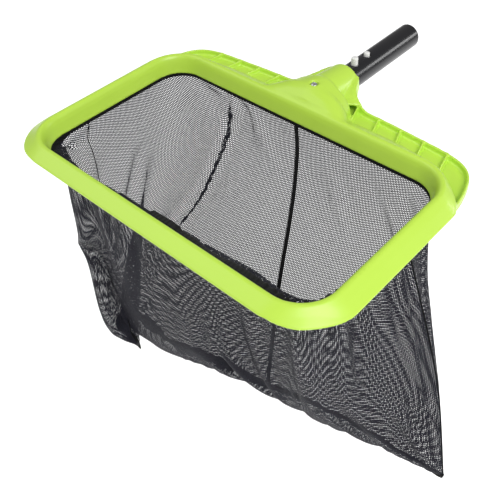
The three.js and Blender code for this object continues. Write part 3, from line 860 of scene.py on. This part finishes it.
def bright_steel():
    m = Nodes("screw_steel")
    scratch = m.noise(1500.0, 2.0)
    m.set(color=m.blend(scratch, (0.5, 0.5, 0.52), (0.72, 0.72, 0.74)), metallic=1.0,
          roughness=m.math("ADD", m.math("MULTIPLY", scratch, 0.2), 0.2))
    m.bump(scratch, 0.1, 0.0001)
    return m.material


def dress(pieces, material):
    for piece in pieces:
        piece.data.materials.clear()
        piece.data.materials.append(material)


def dress_nodes(names, material):
    for name in names:
        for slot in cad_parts[name].material_slots:
            slot.material = material


# ---------------------------------------------------------------- studio
CAMERA_TURN, CAMERA_TILT, CAMERA_ROLL = 44.69, 45.94, -3.27
CAMERA_AT = (382.64, -370.29, 411.06)  # in the mouth's coordinates, mm
CAMERA_LENS = 49.29
FLOOR_DROP, FLOOR_REACH, FLOOR_GLOW = 0.25, 6.0, 0.7
WORLD_LIGHT = 0.3
# Place in mm, width in m and power in W.
LIGHTS = {
    "key": ((1150, -350, 1250), 1.3, 24.0),
    "fill": ((-1000, -500, 1300), 1.4, 8.0),
    "back": ((1100, 1650, 470), 0.45, 4.0),
}


def build_studio():
    camera = bpy.data.objects.new("camera", bpy.data.cameras.new("camera"))
    bpy.context.scene.collection.objects.link(camera)
    camera.data.sensor_fit = "HORIZONTAL"
    camera.data.sensor_width = 36
    camera.data.lens = CAMERA_LENS
    camera.data.clip_end = 20
    turn = Matrix.Rotation(math.radians(CAMERA_TURN), 4, "Z")
    tilt = Matrix.Rotation(math.radians(90 - CAMERA_TILT), 4, "X")
    roll = Matrix.Rotation(math.radians(CAMERA_ROLL), 4, "Z")
    camera.matrix_world = Matrix.Translation(Vector(to_part(CAMERA_AT))) @ turn @ tilt @ roll
    bpy.context.scene.camera = camera

    bottom = CAD_BOX[0][2] - FLOOR_DROP
    corners = [(sx * FLOOR_REACH, sy * FLOOR_REACH, bottom) for sx, sy in ((-1, -1), (1, -1), (1, 1), (-1, 1))]
    mesh = bpy.data.meshes.new("floor")
    mesh.from_pydata(corners, [], [(0, 1, 2, 3)])
    floor = bpy.data.objects.new("floor", mesh)
    bpy.context.scene.collection.objects.link(floor)
    paper = Nodes("studio_floor")
    paper.set(color=(0.93, 0.93, 0.93), roughness=0.9)
    paper.shader.inputs["Emission Color"].default_value = (1, 1, 1, 1)
    paper.shader.inputs["Emission Strength"].default_value = FLOOR_GLOW
    floor.data.materials.append(paper.material)

    world = bpy.data.worlds.new("studio")
    world.use_nodes = True
    world.node_tree.nodes["Background"].inputs["Color"].default_value = (1, 1, 1, 1)
    world.node_tree.nodes["Background"].inputs["Strength"].default_value = WORLD_LIGHT
    bpy.context.scene.world = world

    aim = Vector(to_part((0, 0, -60)))
    for name, (place, size, power) in LIGHTS.items():
        light = bpy.data.objects.new(name, bpy.data.lights.new(name, "AREA"))
        light.data.shape = "DISK"
        light.data.size = size
        light.data.energy = power
        light.location = Vector(to_part(place))
        light.rotation_euler = (aim - light.location).to_track_quat("-Z", "Y").to_euler()
        bpy.context.scene.collection.objects.link(light)

    view = bpy.context.scene.view_settings
    view.view_transform = "Standard"
    view.look = "None"
    bpy.context.scene.cycles.transparent_max_bounces = 32


def main():
    lime = moulded_plastic("lime_plastic", (0.53, 0.79, 0.08), (0.50, 0.76, 0.068), 0.38, coat=0.15)
    black = moulded_plastic("black_plastic", (0.012, 0.012, 0.014), (0.008, 0.008, 0.01), 0.24)
    matte = moulded_plastic("matte_black_plastic", (0.015, 0.015, 0.016), (0.01, 0.01, 0.011), 0.5)
    nylon = moulded_plastic("white_nylon", (0.82, 0.82, 0.8), (0.76, 0.76, 0.74), 0.4)
    tape = woven_tape("black_tape")
    dress([build_frame()], lime)
    tube, clip, bolt = build_spigot()
    dress([tube], black)
    dress(clip, nylon)
    dress([bolt], bright_steel())
    panels, tapes = build_bag()
    dress(panels, net_mesh())
    dress(tapes, tape)
    dress_nodes(["hem_tape", "hem_cord"], tape)
    dress_nodes([f"retainer_{side}" for side in ("front", "back", "left", "right")], matte)
    dress_nodes(["neck_nut"], bright_steel())
    build_studio()


main()
